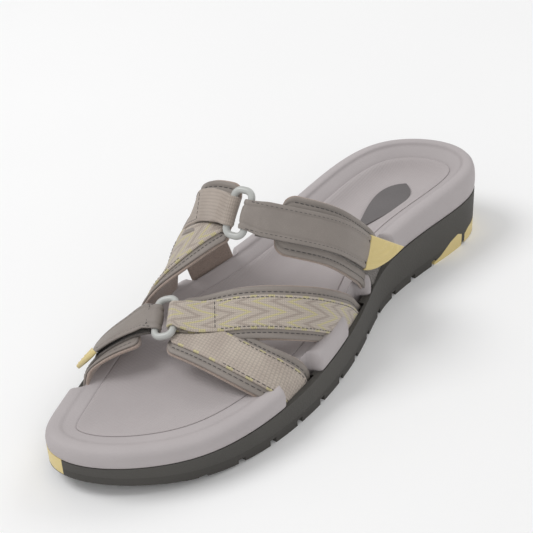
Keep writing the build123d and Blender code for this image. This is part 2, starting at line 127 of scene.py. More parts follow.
class Course:
    """A strap's line: a place, a sideways and an outward direction at each distance along it."""

    def __init__(self, places, sides):
        gaps = np.linalg.norm(np.diff(places, axis=0), axis=1)
        self.s = np.concatenate([[0], np.cumsum(gaps)])
        self.length = self.s[-1]
        self.o = places
        self.t = unit(np.gradient(places, self.s, axis=0))
        side = unit(sides - (sides * self.t).sum(-1, keepdims=True) * self.t)
        self.w = side
        self.n = unit(np.cross(self.t, side))

    def look(self, table, s):
        return np.stack([np.interp(s, self.s, table[:, k]) for k in range(3)], -1)

    def at(self, s, w, h):
        s, w, h = np.broadcast_arrays(np.asarray(s, float), np.asarray(w, float), np.asarray(h, float))
        return self.look(self.o, s) + self.look(self.w, s) * w[..., None] + self.look(self.n, s) * h[..., None]


def smoothed(rows, reach):
    """Rows averaged with their neighbours, ends kept."""
    kernel = np.hanning(2 * reach + 3)[1:-1]
    kernel /= kernel.sum()
    padded = np.concatenate([2 * rows[:1] - rows[reach:0:-1], rows, 2 * rows[-1:] - rows[-2:-reach - 2:-1]])
    return np.stack([np.convolve(padded[:, k], kernel, "valid") for k in range(rows.shape[1])], -1)


def route_course(route):
    places = np.array([on_route(route, i / 300) for i in range(301)])
    line = smoothed(foot(places[:, 0], places[:, 1]), 8)
    normals = unit(smoothed(outward(places[:, 0], places[:, 1]), 12))
    travel = unit(np.gradient(line, axis=0))
    return Course(line, unit(np.cross(normals, travel)))


def ring_axes(place, webbing, tab):
    """Middle under the ring, its sideways, outward and webbing-to-tab directions."""
    turn, y = place
    middle = foot(turn, y)
    step = 0.004
    out = unit(np.cross(foot(turn + step, y) - foot(turn - step, y), foot(turn, y + 0.2) - foot(turn, y - 0.2)))
    if out @ (middle - foot(0.5, y) + np.array([0, 0, 40.0])) < 0:
        out = -out
    heading = tab.t[3] - webbing.t[3]
    heading = unit(heading - out * (heading @ out))
    return middle, np.cross(out, heading), out, heading


def ramp(x, start, end):
    share = np.clip((np.asarray(x, float) - start) / (end - start), 0, 1)
    return share * share * (3 - 2 * share)


COURSES = {name: route_course(route) for name, route in {
    "front_chevron": FRONT_CHEVRON, "front_plain": FRONT_PLAIN, "front_inner": FRONT_INNER,
    "rear_plain": REAR_PLAIN, "rear_chevron": REAR_CHEVRON, "rear_outer": REAR_OUTER}.items()}
FRONT_RING = ring_axes(FRONT_RING_AT, COURSES["front_chevron"], COURSES["front_inner"])
REAR_RING = ring_axes(REAR_RING_AT, COURSES["rear_plain"], COURSES["rear_outer"])


def past_bar(course, ring, gap):
    """The distance along a strap where it is gap beyond the nearer bar."""
    beyond = np.abs((course.o - ring[0]) @ ring[3]) - RING_PITCH / 2
    return float(course.s[np.argmax(beyond >= gap)])


def gathered(width, distance):
    """A strap's width at a distance from its ring end, narrowed towards the bar."""
    return BAR_WIDTH + (width - BAR_WIDTH) * ramp(distance, 2, TAIL)


def looped_course(course, ring):
    """Webbing from the sole to the ring, round its bar and back under itself; its middle thickness."""
    middle, side, out, heading = ring
    bar = middle + out * BAR_HEIGHT - heading * RING_PITCH / 2
    first = past_bar(course, ring, 3.6)
    s = np.arange(course.length, first, -0.5)
    low = WEBBING_LOW + (TOP_LOW - WEBBING_LOW) * (1 - ramp(s, TAIL + 4, TAIL + 12))
    low = low + (BAR_HEIGHT + LOOP_INNER - TOP_LOW) * (1 - ramp(s, 3, TAIL + 4))
    upper = course.at(s, 0, low + WEBBING / 2)
    angles = np.radians(np.linspace(-32, 166, 28))[:, None]
    radius = LOOP_INNER + WEBBING / 2
    turn = bar + radius * (out * np.cos(angles) + heading * np.sin(angles))
    back = np.arange(first, TAIL, 0.5)
    lower = course.at(back, 0, WEBBING_LOW + WEBBING / 2)
    places = np.concatenate([upper, turn, lower])
    sides = np.concatenate([-course.look(course.w, s), np.tile(side, (len(turn), 1)),
                            -course.look(course.w, back)])
    widths = np.concatenate([gathered(WEBBING_WIDTH, s), np.full(len(turn), BAR_WIDTH),
                             gathered(WEBBING_WIDTH, back)])
    line = Course(places, sides)
    return line, course.length - first, lambda at: np.interp(at, line.s, widths) / 2


def tab_course(course, ring, length):
    """The tab leather from under the bar, round it, then over the strap; its middle thickness."""
    middle, side, out, heading = ring
    bar = middle + out * BAR_HEIGHT + heading * RING_PITCH / 2
    radius = LOOP_INNER + LEATHER / 2
    leg = np.linspace(TAB_LEG, 0.4, 4)[:, None]
    below = bar - out * radius + heading * leg
    angles = np.radians(np.linspace(180, 0, 26))[:, None]
    turn = bar + radius * (out * np.cos(angles) - heading * np.sin(angles))
    first = past_bar(course, ring, TAB_LEG + 2.5)
    s = np.arange(first, length, 0.5)
    rest = TAB_REST + LEATHER / 2
    over = course.at(s, 0, rest + (TAB_LOW + LEATHER / 2 - rest) * (1 - ramp(s, 3, 16)))
    places = np.concatenate([below, turn, over])
    sides = np.concatenate([np.tile(side, (len(below) + len(turn), 1)), course.look(course.w, s)])
    return Course(places, sides)


# ---------------------------------------------------------------- mesh making
def piece(name, points, faces, material, body, uvs=None, smooth=True):
    """A mesh object from points in mm, riding on a CAD body."""
    mesh = bpy.data.meshes.new(name)
    mesh.from_pydata((np.asarray(points) * MM).tolist(), [], faces)
    mesh.update()
    if uvs is not None:
        layer = mesh.uv_layers.new(name="strap")
        loops = np.zeros(len(mesh.loops), np.int32)
        mesh.loops.foreach_get("vertex_index", loops)
        layer.data.foreach_set("uv", (np.asarray(uvs)[loops] / 100).astype(np.float32).ravel())
    mesh.polygons.foreach_set("use_smooth", [smooth] * len(mesh.polygons))
    mesh.materials.append(material)
    obj = bpy.data.objects.new(name, mesh)
    bpy.context.scene.collection.objects.link(obj)
    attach(obj, body)
    return obj


def grid_faces(rows, columns, closed_rows=False, closed_columns=False):
    """Quads of a grid of points, rows by columns."""
    faces = []
    for i in range(rows if closed_rows else rows - 1):
        for j in range(columns if closed_columns else columns - 1):
            a = i * columns + j
            b = i * columns + (j + 1) % columns
            c = ((i + 1) % rows) * columns + (j + 1) % columns
            d = ((i + 1) % rows) * columns + j
            faces.append((a, b, c, d))
    return faces


def band(name, course, span, half, low, thick, material, body, step=0.8, across=16, relief=None,
         bend=None, round_ends=(0, 0), centre=None, soft=1.0):
    """One layer of a strap with rounded edges: half-width, low and bend may vary along it."""
    start, end = span
    s = np.linspace(start, end, max(int((end - start) / step), 3) + 1)
    wide = half(s) if callable(half) else np.full_like(s, half)
    middle = centre(s) if centre else np.zeros_like(s)
    for reach, distance in ((round_ends[0], s - start), (round_ends[1], end - s)):
        if reach:
            inside = np.clip(distance, 0, reach)
            wide = wide - reach + np.sqrt(np.maximum(reach ** 2 - (reach - inside) ** 2, 0.01))
    base = low(s) if callable(low) else np.full_like(s, low)
    radius = thick / 2 * soft
    turns = np.linspace(math.pi / 2, -math.pi / 2, 6)[1:-1]
    flat = np.linspace(-1, 1, across)
    top = [(t, 0.0, 1.0) for t in flat]
    right = [(1.0, math.cos(a), 0.5 + 0.5 * math.sin(a)) for a in turns]
    bottom = [(t, 0.0, 0.0) for t in flat[::-1]]
    left = [(-1.0, -math.cos(a), 0.5 + 0.5 * math.sin(a)) for a in turns[::-1]]
    ring = np.array(top + right + bottom + left)
    inner = np.maximum(wide - radius, 0.05)
    w = middle[:, None] + ring[None, :, 0] * inner[:, None] + ring[None, :, 1] * radius
    sides = np.broadcast_to(s[:, None], w.shape)
    h = base[:, None] + ring[None, :, 2] * thick
    if relief is not None:
        h = h + np.where(ring[None, :, 2] > 0.9, relief(sides, w, wide[:, None]), 0)
    if bend is not None:
        h = h + bend(sides, w)
    points = course.at(sides, w, h).reshape(-1, 3)
    count = ring.shape[0]
    faces = grid_faces(len(s), count, closed_columns=True)
    for row, flip in ((0, False), (len(s) - 1, True)):
        first = row * count
        loop = [first + k for k in range(count)]
        middle_pairs = []
        for k in range(across - 1):
            a, b = first + k, first + k + 1
            c = first + across + len(turns) + across - 2 - k
            d = c + 1
            middle_pairs.append((a, d, c, b) if not flip else (a, b, c, d))
        right_loop = [loop[across - 1 + k] for k in range(len(turns) + 2)]
        left_loop = [loop[(across + len(turns) + across - 1 + k) % count] for k in range(len(turns) + 2)]
        for fan in (right_loop, left_loop):
            middle_pairs.append(tuple(fan[::-1]) if not flip else tuple(fan))
        faces += middle_pairs
    uvs = np.stack([sides.ravel(), (w + 0 * h).ravel()], -1)
    faces = [tuple(reversed(face)) for face in faces]
    return piece(name, points, faces, material, body, uvs)


def capsules(name, ends, radius, material, body):
    """Short rounded threads between pairs of points, with an upward direction each."""
    rings = [(-1.0, 0.15), (-0.9, 0.7), (-0.6, 1.0), (0.6, 1.0), (0.9, 0.7), (1.0, 0.15)]
    points, faces = [], []
    for a, b, up in ends:
        a, b, up = np.asarray(a), np.asarray(b), np.asarray(up)
        mid, along = (a + b) / 2, (b - a) / 2
        reach = np.linalg.norm(along)
        if reach < 1e-6:
            continue
        side = np.cross(along / reach, up)
        side = side / max(np.linalg.norm(side), 1e-9)
        up = np.cross(side, along / reach)
        first = len(points)
        for place, size in rings:
            for k in range(6):
                angle = k * math.pi / 3
                points.append(mid + along * place
                              + (side * math.cos(angle) + up * math.sin(angle)) * radius * size)
        faces += [tuple(first + i for i in face) for face in grid_faces(len(rings), 6, closed_columns=True)]
        faces.append(tuple(first + k for k in range(6))[::-1])
        faces.append(tuple(first + 6 * (len(rings) - 1) + k for k in range(6)))
    return piece(name, np.array(points), faces, material, body)


def seam(course, line, pitch=2.3, share=0.72):
    """Stitch ends along a line of (s, w, h) points on a strap."""
    line = np.array(line, float)
    flat = np.concatenate([[0], np.cumsum(np.linalg.norm(np.diff(line[:, :2], axis=0), axis=1))])
    count = max(int(flat[-1] / pitch), 1)
    starts = np.arange(count) * (flat[-1] / count)
    out = []
    for start in starts:
        both = [start, start + flat[-1] / count * share]
        s, w, h = [np.interp(both, flat, line[:, k]) for k in range(3)]
        places = course.at(s, w, h)
        out.append((places[0], places[1], course.look(course.n, s[:1])[0]))
    return out


# ---------------------------------------------------------------- materials
class Look:
    """A node material whose colour and bump are built up from small steps."""

    def __init__(self, name, rough=0.6, **fixed):
        self.material = bpy.data.materials.new(name)
        self.material.use_nodes = True
        self.tree = self.material.node_tree
        self.shader = self.tree.nodes["Principled BSDF"]
        self.shader.inputs["Roughness"].default_value = rough
        for key, value in fixed.items():
            self.shader.inputs[key.replace("_", " ")].default_value = value

    def add(self, kind, inputs=(), **settings):
        node = self.tree.nodes.new(kind)
        for key, value in settings.items():
            setattr(node, key, value)
        for key, value in dict(inputs).items():
            if isinstance(value, bpy.types.NodeSocket):
                self.tree.links.new(value, node.inputs[key])
            else:
                node.inputs[key].default_value = value
        return node

    def place(self):
        return self.add("ShaderNodeTexCoord").outputs["Object"]

    def strap(self):
        """Distance along and across a strap, in mm."""
        uv = self.add("ShaderNodeUVMap", uv_map="strap").outputs[0]
        parts = self.add("ShaderNodeSeparateXYZ", {0: uv})
        return self.math("MULTIPLY", parts.outputs[0], 100.0), self.math("MULTIPLY", parts.outputs[1], 100.0)

    def math(self, operation, a, b=0.0, c=0.0):
        return self.add("ShaderNodeMath", {0: a, 1: b, 2: c}, operation=operation).outputs[0]

    def noise(self, scale, detail=3.0, rough=0.55, vector=None):
        node = self.add("ShaderNodeTexNoise", {"Vector": vector or self.place(), "Scale": scale,
                                               "Detail": detail, "Roughness": rough})
        return node.outputs["Fac"]

    def mix(self, factor, a, b, blend="MIX"):
        node = self.add("ShaderNodeMix", data_type="RGBA", blend_type=blend)
        for socket, value in ((node.inputs[0], factor), (node.inputs[6], a), (node.inputs[7], b)):
            if isinstance(value, bpy.types.NodeSocket):
                self.tree.links.new(value, socket)
            else:
                socket.default_value = value if isinstance(value, float) else (*value, 1.0)
        return node.outputs[2]

    def ramp(self, factor, stops, mode="LINEAR"):
        node = self.add("ShaderNodeValToRGB", {0: factor})
        node.color_ramp.interpolation = mode
        elements = node.color_ramp.elements
        while len(elements) < len(stops):
            elements.new(0.5)
        for element, (position, colour) in zip(elements, stops):
            element.position = position
            element.color = (*colour, 1.0) if len(colour) == 3 else colour
        return node.outputs[0]

    def colour(self, value):
        self.tree.links.new(value, self.shader.inputs["Base Color"])
        return self

    def rough(self, value):
        self.tree.links.new(value, self.shader.inputs["Roughness"])
        return self

    def bump(self, height, distance, strength=1.0, onto=None):
        node = self.add("ShaderNodeBump", {"Height": height, "Distance": distance, "Strength": strength})
        if onto is not None:
            self.tree.links.new(onto, node.inputs["Normal"])
        self.tree.links.new(node.outputs[0], self.shader.inputs["Normal"])
        return node.outputs[0]


def grey(value, tint=(1.0, 1.0, 1.0)):
    return tuple(value * t for t in tint)


def moulded(name, colour, rough, grain, depth, spread=0.12):
    """Rubber, foam or plastic: cloudy colour, scuffed gloss and a fine grain."""
    look = Look(name, rough)
    cloud = look.noise(18.0, 4.0)
    fine = look.noise(900.0, 2.0)
    dark = tuple(c * (1 - spread) for c in colour)
    light = tuple(min(c * (1 + spread), 1.0) for c in colour)
    base = look.ramp(cloud, [(0.3, dark), (0.7, light)])
    look.colour(look.mix(look.math("MULTIPLY", fine, 0.25), base, dark))
    look.rough(look.math("MULTIPLY_ADD", cloud, 0.18, rough - 0.09))
    pebbles = look.add("ShaderNodeTexVoronoi", {"Vector": look.place(), "Scale": grain}).outputs["Distance"]
    first = look.bump(pebbles, depth, 0.5)
    look.bump(fine, depth * 0.6, 0.4, first)
    return look


def leather_look(name, colour):
    look = Look(name, 0.52, Specular_IOR_Level=0.35)
    place = look.place()
    voronoi = look.add("ShaderNodeTexVoronoi", {"Vector": place, "Scale": 1300.0}, feature="DISTANCE_TO_EDGE")
    cells = voronoi.outputs["Distance"]
    creases = look.ramp(cells, [(0.0, grey(0.0)), (0.25, grey(1.0))])
    cloud = look.noise(60.0, 4.0)
    dark = tuple(c * 0.86 for c in colour)
    light = tuple(c * 1.1 for c in colour)
    base = look.ramp(cloud, [(0.3, dark), (0.72, light)])
    # Painted shade: the colour is darker along the grain's creases, where shade falls.
    look.colour(look.mix(creases, look.mix(0.5, base, dark), base))
    look.rough(look.math("MULTIPLY_ADD", cloud, 0.2, 0.42))
    first = look.bump(creases, 0.00006, 0.6)
    look.bump(look.noise(240.0, 3.0), 0.00015, 0.35, first)
    return look


def webbing_look(name, kind):
    """Woven tape: along is s, across is w, both in mm."""
    look = Look(name, 0.82, Sheen_Weight=0.25, Sheen_Roughness=0.5)
    s, w = look.strap()
    beige, pale, brown = (0.47, 0.40, 0.345), (0.56, 0.49, 0.42), (0.42, 0.355, 0.305)
    yellow = (0.62, 0.56, 0.29)
    if kind == "chevron":
        wave = look.math("DIVIDE", look.math("PINGPONG", look.math("ADD", w, 40.5), 4.5), 4.5)
        phase = look.math("FRACT", look.math("DIVIDE", look.math("MULTIPLY_ADD", wave, 13.0, s), 15.0))
        colours = look.ramp(phase, [(0.0, yellow), (0.13, yellow), (0.2, pale), (0.44, pale), (0.5, brown),
                                    (0.66, brown), (0.72, pale), (1.0, pale)])
        fleck = look.math("LESS_THAN", look.math("FRACT", look.math("DIVIDE", s, 7.5)), 0.38)
        edge = look.math("GREATER_THAN", look.math("ABSOLUTE", w), 6.3)
        selvedge = look.mix(fleck, pale, yellow)
        colours = look.mix(edge, colours, selvedge)
        pitch_s, pitch_w = 0.95, 1.0
    elif kind == "grid":
        colours = look.ramp(look.noise(90.0), [(0.35, beige), (0.65, pale)])
        fleck = look.math("LESS_THAN", look.math("FRACT", look.math("DIVIDE", s, 8.0)), 0.35)
        edge = look.math("GREATER_THAN", look.math("ABSOLUTE", w), 6.5)
        colours = look.mix(edge, colours, look.mix(fleck, beige, yellow))
        pitch_s, pitch_w = 1.5, 1.2
    else:
        colours = look.ramp(look.noise(90.0), [(0.35, tuple(c * 0.85 for c in beige)), (0.65, beige)])
        pitch_s, pitch_w = 0.8, 1.5
    wave_s = look.math("SINE", look.math("MULTIPLY", s, 2 * math.pi / pitch_s))
    wave_w = look.math("SINE", look.math("MULTIPLY", w, 2 * math.pi / pitch_w))
    weave = look.math("MULTIPLY_ADD", look.math("MULTIPLY", wave_s, wave_w), 0.5, 0.5)
    gaps = look.math("MULTIPLY", look.math("MULTIPLY_ADD", wave_s, 0.5, 0.5),
                     look.math("MULTIPLY_ADD", wave_w, 0.5, 0.5))
    shade = look.ramp(gaps, [(0.0, grey(0.76)), (0.35, grey(1.0))])
    colours = look.mix(1.0, colours, shade, "MULTIPLY")
    colours = look.mix(look.math("MULTIPLY", look.noise(2500.0, 2.0), 0.35), colours, brown)
    look.colour(colours)
    look.bump(weave, 0.00025, 0.6)
    return look


def fuzzy_look(name, colour, scale=2200.0, depth=0.0005):
    look = Look(name, 0.95, Sheen_Weight=0.35, Sheen_Roughness=0.6)
    fibres = look.noise(scale, 5.0, 0.75)
    base = look.ramp(fibres, [(0.3, tuple(c * 0.55 for c in colour)), (0.7, tuple(min(c * 1.35, 1) for c in colour))])
    look.colour(look.mix(look.math("MULTIPLY", look.noise(70.0), 0.4), base, tuple(c * 0.7 for c in colour)))
    look.bump(fibres, depth, 0.8)
    return look


def ribbed_cover_look():
    look = Look("footbed_cover_cloth", 0.86, Sheen_Weight=0.15)
    place = look.place()
    parts = look.add("ShaderNodeSeparateXYZ", {0: place})
    ribs = look.math("SINE", look.math("MULTIPLY", parts.outputs[0], 2 * math.pi / 0.0011))
    cross = look.math("SINE", look.math("MULTIPLY", parts.outputs[1], 2 * math.pi / 0.0016))
    cloth = look.math("MULTIPLY_ADD", look.math("ADD", ribs, look.math("MULTIPLY", cross, 0.4)), 0.35, 0.5)
    cloud = look.noise(14.0, 4.0)
    base = look.ramp(cloud, [(0.3, (0.405, 0.368, 0.37)), (0.7, (0.475, 0.435, 0.435))])
    look.colour(look.mix(look.math("MULTIPLY", cloth, 0.22), base, (0.33, 0.30, 0.30)))
    look.bump(cloth, 0.00012, 0.5)
    return look


RUBBER = moulded("sole_rubber_tread", (0.060, 0.056, 0.050), 0.72, 1500.0, 0.00012, 0.18).material
FOAM = moulded("sole_wall_rubber", (0.072, 0.068, 0.061), 0.70, 1100.0, 0.00018, 0.16).material
BED = moulded("footbed_foam_skin", (0.455, 0.418, 0.42), 0.66, 1000.0, 0.00010, 0.06).material
COVER = ribbed_cover_look().material
BADGE = moulded("badge_rubber", (0.135, 0.125, 0.125), 0.5, 800.0, 0.00012, 0.15).material
YELLOW = moulded("yellow_rubber_skin", (0.74, 0.60, 0.27), 0.5, 700.0, 0.00010, 0.07).material
LINING_CLOTH = fuzzy_look("lining_cloth", (0.40, 0.31, 0.26), 1800.0, 0.00035).material
LEATHER_SKIN = leather_look("synthetic_leather_skin", (0.285, 0.252, 0.228)).material
CHEVRON = webbing_look("chevron_webbing_weave", "chevron").material
GRID = webbing_look("grid_webbing_weave", "grid").material
RIBBED = webbing_look("ribbed_webbing_weave", "ribbed").material
RING_SKIN = moulded("ring_plastic_skin", (0.50, 0.51, 0.49), 0.34, 500.0, 0.00004, 0.05).material
LOOPS = fuzzy_look("loop_pile_fibres", (0.16, 0.138, 0.122), 2600.0, 0.0009).material
HOOKS = moulded("hook_tape_nylon", (0.05, 0.046, 0.043), 0.6, 900.0, 0.0002, 0.2).material
THREAD = fuzzy_look("thread_twist", (0.075, 0.066, 0.062), 3000.0, 0.0002).material
BOARD = moulded("board_fibre", (0.2, 0.18, 0.16), 0.8, 900.0, 0.0001).material


def keep_node(name, material):
    """A CAD node shown as it is, with a better material."""
    node = NODES[name]
    node.data.materials.clear()
    node.data.materials.append(material)


# ---------------------------------------------------------------- straps
def plain_relief(pitch_s, pitch_w, depth):
    """Yarns passing over and under each other."""
    def relief(s, w, wide):
        fade = ramp(wide - np.abs(w), 0.0, 0.8)
        return depth * np.sin(2 * np.pi * s / pitch_s) * np.sin(2 * np.pi * w / pitch_w) * fade
    return relief


def rib_relief(pitch, depth):
    def relief(s, w, wide):
        return depth * np.abs(np.sin(np.pi * w / pitch)) * ramp(wide - np.abs(w), 0.0, 0.8)
    return relief


def turned_edge(s, w, wide):
    """Leather puffed over its foam, pressed down along the stitching, thicker at the turned edge."""
    inset = wide - np.abs(w)
    return 0.22 * ramp(inset, 0.4, 2.0) - 0.42 * np.exp(-((inset - 2.6) / 0.55) ** 2) + 0.18 * ramp(inset, 3.4, 6.0)


def under(branch, main, reach, depth):
    """Lowers a branch by depth where it lies within reach of the main strap's middle line."""
    def bend(s, w):
        spots = branch.at(s, w, 2.0)
        flat = spots.reshape(-1, 3)
        nearest = np.argmin(((flat[:, None] - main.o[None, ::3]) ** 2).sum(-1), axis=1) * 3
        aside = np.abs(((flat - main.o[nearest]) * main.w[nearest]).sum(-1)).reshape(s.shape)
        return -depth * ramp(reach - aside, 0.0, 0.9)
    return bend


def strap_side(prefix, main, branch, main_look, branch_look, main_relief, branch_relief, ring, names):
    """Lining, leather and webbings on the side that holds the ring."""
    lining, leather, main_webbing, branch_webbing = names
    a, b = COURSES[main], COURSES[branch]
    half = BACKING_WIDTH / 2
    for label, course, start, sink in (("main", a, 1.0, 0.0), ("branch", b, 1.5, 0.05)):
        dip = under(b, a, half, 0.7) if label == "branch" else None
        edge = band(f"{prefix}_lining_{label}", course, (start, course.length), half + LINING_MARGIN, -sink,
                    LINING, LINING_CLOTH, "sole", round_ends=(PANEL_ROUND, 0), bend=dip)
        skin = band(f"{prefix}_leather_{label}", course, (start + 0.3, course.length), half, LEATHER_LOW - sink,
                    LEATHER - 0.1, LEATHER_SKIN, "sole", step=0.6, across=40,
                    relief=turned_edge, round_ends=(PANEL_ROUND, 0), bend=dip)
        if label == "main":
            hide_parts(lining)
            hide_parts(leather)
        rows = []
        for sign in (-1, 1):
            w = sign * (half - SEAM_INSET)
            rows += seam(course, [(s, w, LEATHER_LOW + LEATHER - sink - 0.22)
                                  for s in np.arange(start + 4, course.length, 2)])
        capsules(f"{prefix}_stitches_{label}", rows, 0.24, THREAD, "sole")
    loop, bend_at, loop_half = looped_course(a, ring)
    tape = band(f"{prefix}_webbing_main", loop, (0, loop.length), loop_half, -WEBBING / 2, WEBBING, main_look,
                "sole", step=0.4, across=38, relief=main_relief)
    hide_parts(main_webbing)
    other = band(f"{prefix}_webbing_branch", b, (2.5, b.length), WEBBING_WIDTH / 2, WEBBING_LOW, WEBBING, branch_look,
                 "sole", step=0.4, across=38, relief=branch_relief, round_ends=(3, 0),
                 bend=under(b, a, WEBBING_WIDTH / 2 + 0.6, 1.7))
    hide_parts(branch_webbing)
    rows = []
    for sign in (-1, 1):
        w = sign * (WEBBING_WIDTH / 2 - 1.1)
        rows += seam(loop, [(s, w, WEBBING / 2 + 0.04) for s in np.arange(2, bend_at - 9, 2)], 2.0)
        rows += seam(b, [(s, w, WEBBING_LOW + WEBBING + 0.04) for s in np.arange(30, b.length - 2, 2)], 2.0)
    rows += seam(loop, [(bend_at - 9, w, WEBBING / 2 + 0.05) for w in np.linspace(-6.4, 6.4, 9)], 1.9)
    capsules(f"{prefix}_webbing_stitches", rows, 0.2, THREAD, "sole")


strap_side("front_outer", "front_chevron", "front_plain", CHEVRON, GRID, plain_relief(1.9, 2.0, 0.07),
           plain_relief(3.0, 2.4, 0.09), FRONT_RING,
           ("front_outer_lining", "front_outer_leather", "front_chevron_webbing", "front_plain_webbing"))
strap_side("rear_inner", "rear_plain", "rear_chevron", RIBBED, CHEVRON, rib_relief(1.5, 0.12),
           plain_relief(1.9, 2.0, 0.07), REAR_RING,
           ("rear_inner_lining", "rear_inner_leather", "rear_plain_webbing", "rear_chevron_webbing"))


def fuzz(depth, seed):
    """A napped surface: small uneven tufts."""
    generator = np.random.default_rng(seed)

    def relief(s, w, wide):
        return depth * generator.random(s.shape)
    return relief


def tip_shape(course, s_seam, upper_side, low, name, body, lift, length):
    """A quarter-round rubber tip with raised ribs that follow its curved edge."""
    rows, columns = 44, 40
    wide = REAR_WIDTH + 1.0
    share = np.linspace(0, 0.995, rows)
    reach = wide * (1 - share ** 1.7)
    top_edge = upper_side * (REAR_WIDTH + 1) / 2
    t = np.linspace(0, 1, columns)
    w = top_edge - upper_side * reach[:, None] * t[None, :]
    s = np.broadcast_to((s_seam + 0.05 + share * length)[:, None], w.shape)
    edge = np.minimum(np.minimum(t[None, :], 1 - t[None, :]) * reach[:, None], (1 - share[:, None] ** 2) * 9)
    radial = np.sqrt((share[:, None]) ** 2 + (t[None, :] * reach[:, None] / wide) ** 2)
    ribs = np.zeros_like(w)
    for place in (0.44, 0.62, 0.80):
        ribs = np.maximum(ribs, np.exp(-((radial - place) / 0.035) ** 4))
    ribs = ribs * ramp(edge, 0.9, 1.7) * ramp(share, 0.06, 0.12)[:, None]
    crown = 2.0 * np.clip(edge / 0.7, 0, 1) ** 0.5 * 0.55 + 0.9
    top = low + crown + 0.35 * ribs
    bottom = np.full_like(top, low)
    bottom = np.minimum(bottom, top - 0.05)
    seam_at, side, ahead, out = [course.look(table, np.array([s_seam]))[0]
                                 for table in (course.o, course.w, course.t, course.n)]
    seam_at = seam_at + out * low
    angle = math.radians(lift)
    ahead, out = ahead * math.cos(angle) + out * math.sin(angle), out * math.cos(angle) - ahead * math.sin(angle)
    top, bottom = top - low, bottom - low
    flat = seam_at + (s - s_seam)[..., None] * ahead + w[..., None] * side
    upper = (flat + top[..., None] * out).reshape(-1, 3)
    lower = (flat + bottom[..., None] * out).reshape(-1, 3)
    faces = grid_faces(rows, columns)
    count = rows * columns
    faces += [tuple(count + k for k in reversed(face)) for face in faces]
    rim = list(range(columns)) + [i * columns + columns - 1 for i in range(1, rows)]
    rim += [(rows - 1) * columns + k for k in range(columns - 2, -1, -1)]
    rim += [i * columns for i in range(rows - 2, 0, -1)]
    for k, a in enumerate(rim):
        b = rim[(k + 1) % len(rim)]
        faces.append((b, a, a + count, b + count))
    points = np.concatenate([upper, lower])
    if upper_side > 0:
        faces = [tuple(reversed(face)) for face in faces]
    uvs = np.concatenate([np.stack([s.ravel(), w.ravel()], -1)] * 2)
    return piece(name, points, [tuple(face) for face in faces], YELLOW, body, uvs)


def tab_side(prefix, side, key, ring, length, upper_side, body, seed, lift, tip_length):
    """Panel, loop strap, tab, hooks and tip on the side that closes."""
    course = COURSES[key]
    half = QUARTER_WIDTH / 2
    start = past_bar(course, ring, 11.0)
    edge = band(f"{prefix}_{side}_lining_edge", course, (start, course.length), half + LINING_MARGIN, 0, LINING,
                LINING_CLOTH, "sole", round_ends=(6.0, 0))
    skin = band(f"{prefix}_{side}_leather_skin", course, (start + 0.4, course.length), half, LEATHER_LOW,
                LEATHER - 0.1, LEATHER_SKIN, "sole", step=0.6, across=40,
                relief=turned_edge, round_ends=(6.0, 0))
    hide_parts(f"{prefix}_{side}_lining")
    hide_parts(f"{prefix}_{side}_leather")
    rows = []
    for sign in (-1, 1):
        rows += seam(course, [(s, sign * (half - SEAM_INSET), LEATHER_LOW + LEATHER - 0.22)
                              for s in np.arange(start + 5, course.length, 2)])
    rows += seam(course, [(start + 3.4, w, LEATHER_LOW + LEATHER - 0.1) for w in np.linspace(-8, 8, 9)])
    capsules(f"{prefix}_{side}_stitches", rows, 0.24, THREAD, "sole")
    first = past_bar(course, ring, TAB_LEG + 1.2)
    pile = band(f"{prefix}_pile", course, (first, course.length - 6), REAR_WIDTH / 2, WEBBING_LOW, PILE - 0.35,
                LOOPS, "sole", step=0.35, across=44, relief=fuzz(0.4, seed))
    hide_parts(f"{prefix}_loop_strap")

    tab = tab_course(course, ring, length)
    tab_half = lambda s: (BAR_WIDTH + (REAR_WIDTH - BAR_WIDTH) * ramp(s, 9, 20)) / 2
    leather = band(f"{prefix}_tab_leather", tab, (0, tab.length), tab_half, -LEATHER / 2, LEATHER - 0.15,
                   LEATHER_SKIN, body, step=0.45, across=40, relief=turned_edge)
    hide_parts(f"{prefix}_tab_fold", f"{prefix}_tab")
    rows = []
    top = LEATHER / 2 - 0.28
    for sign in (-1, 1):
        w = sign * (REAR_WIDTH / 2 - 1.7)
        rows += seam(tab, [(s, w, top + 0.12) for s in np.arange(11, tab.length - 2.2, 1.5)], 2.1)
    rows += seam(tab, [(tab.length - 2.0, w, top + 0.22) for w in np.linspace(-6, 6, 9)], 2.0)
    if prefix == "front":
        rows += seam(tab, [(13.0, w, top + 0.22) for w in np.linspace(-6, 6, 9)], 2.0)
    capsules(f"{prefix}_tab_stitches", rows, 0.22, THREAD, body)
    rest = TAB_REST
    tape = band(f"{prefix}_hook_tape", course, (17.5, length - 0.3), REAR_WIDTH / 2 - 0.75, rest - FIT - 0.5, 0.45,
                HOOKS, body, across=20)
    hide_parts(f"{prefix}_tab_hooks")
    pins = []
    for i, s in enumerate(np.arange(18.2, length - 1.0, 1.05)):
        for w in np.arange(-6.3, 6.4, 1.05):
            shift = 0.5 if i % 2 else 0.0
            a, b = course.at([s, s + 0.28], [w + shift, w + shift], [rest - 0.5, rest - 1.05])
            pins.append((a, b, course.look(course.t, np.array([s]))[0]))
    capsules(f"{prefix}_hooks", pins, 0.17, HOOKS, body)
    tip = tip_shape(course, length, upper_side, rest - 0.35, f"{prefix}_tip", body, lift, tip_length)
    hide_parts(f"{prefix}_tab_tip")


tab_side("front", "inner", "front_inner", FRONT_RING, FRONT_TAB + 5, -1, "front_tab", 11, 2, 11.0)
tab_side("rear", "outer", "rear_outer", REAR_RING, REAR_TAB, 1, "rear_tab", 12, 30, 20.5)


